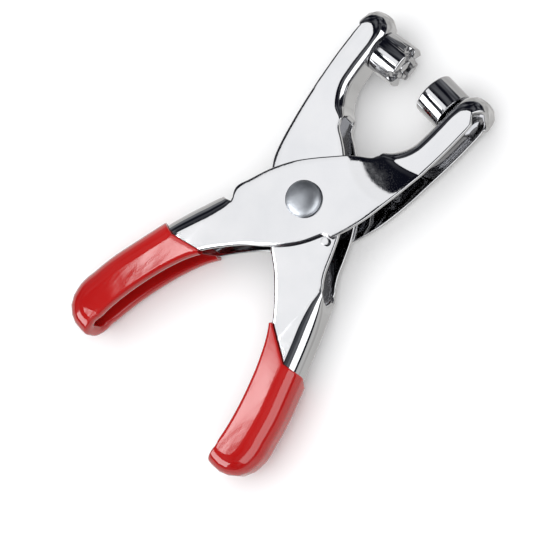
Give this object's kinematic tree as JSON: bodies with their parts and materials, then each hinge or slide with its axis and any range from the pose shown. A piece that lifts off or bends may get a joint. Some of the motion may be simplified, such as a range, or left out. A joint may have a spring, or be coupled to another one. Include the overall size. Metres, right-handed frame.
{
  "type": "snap fastener setting pliers",
  "caption": "Snap fastener setting pliers: two chromed pressed-steel levers on a domed rivet, facing dies in the jaws and red dipped grips.",
  "frame": {"origin": "centre of the flat end of the rivet's formed tail, which is the lowest point, on the pivot axis", "axes": "+Z along the pivot axis from the tail to the domed head; +Y along the tool's centre line towards the jaws; +X to the right, where the outer lever's jaw is"},
  "size_m": [0.0734, 0.1214, 0.0188],
  "materials": {
    "chrome_plate": "bright chrome plate on pressed steel",
    "die_chrome": "bright plate on turned steel",
    "satin_steel": "satin, slightly dulled by the rivet set",
    "spring_steel": "dark oiled spring wire",
    "red_vinyl": "glossy dipped vinyl"
  },
  "bodies": {
    "outer_arm": {"outer_lever": "chrome_plate", "outer_grip": "red_vinyl", "anvil_die": "die_chrome", "anvil_die_washer": "die_chrome", "pivot_rivet": "satin_steel", "pivot_bush": "spring_steel", "return_spring": "spring_steel"},
    "inner_arm": {"inner_lever": "chrome_plate", "inner_grip": "red_vinyl", "crown_die": "die_chrome", "crown_die_washer": "die_chrome"}
  },
  "joints": [
    {"name": "pivot", "type": "hinge", "parent": "outer_arm", "child": "inner_arm", "pos_m": [0, 0, 0.0087], "axis": [0, 0, -1], "range_deg": [0, 12], "stiffness_Nm_per_rad": 1.2, "springref_deg": -17.19, "deforming": ["return_spring"]}
  ]
}
